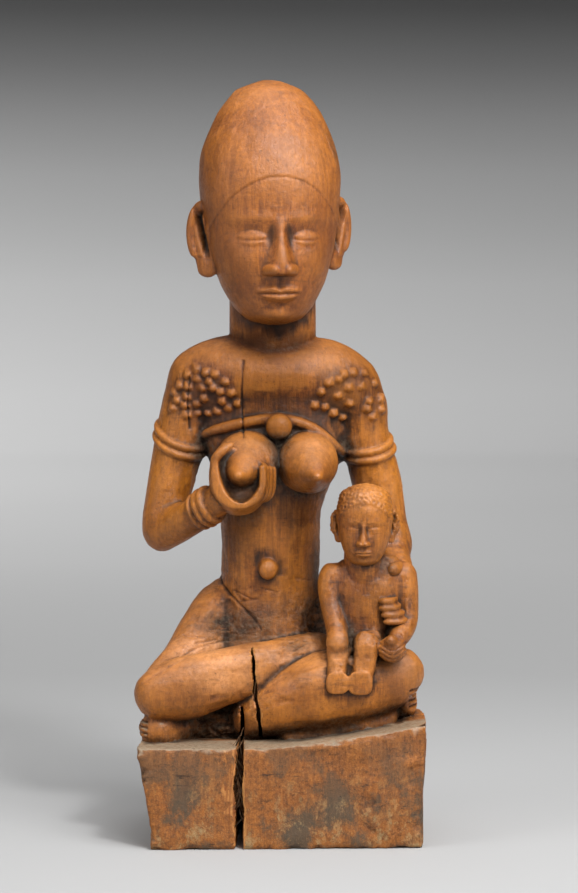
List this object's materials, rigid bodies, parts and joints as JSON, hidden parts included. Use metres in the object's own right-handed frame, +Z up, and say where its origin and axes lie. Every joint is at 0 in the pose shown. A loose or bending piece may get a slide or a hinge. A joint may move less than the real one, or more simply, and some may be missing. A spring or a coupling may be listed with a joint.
{
  "type": "african maternity figure",
  "caption": "Carved wooden seated mother on a block base, one hand at her breast and the other holding a child on her thigh; stands on its flat underside.",
  "frame": {"origin": "middle of the base's flat underside, on the floor plane", "axes": "+Z up from the base to the crown, the figure faces -Y, +X is the figure's left, where the child sits"},
  "size_m": [0.1919, 0.164, 0.5],
  "materials": {
    "carved_wood": "oiled orange-brown hardwood, worn to a low sheen, with dark dirt in the hollows and a dusty base"
  },
  "bodies": {
    "root": {"maternity_figure": "carved_wood"}
  },
  "joints": []
}
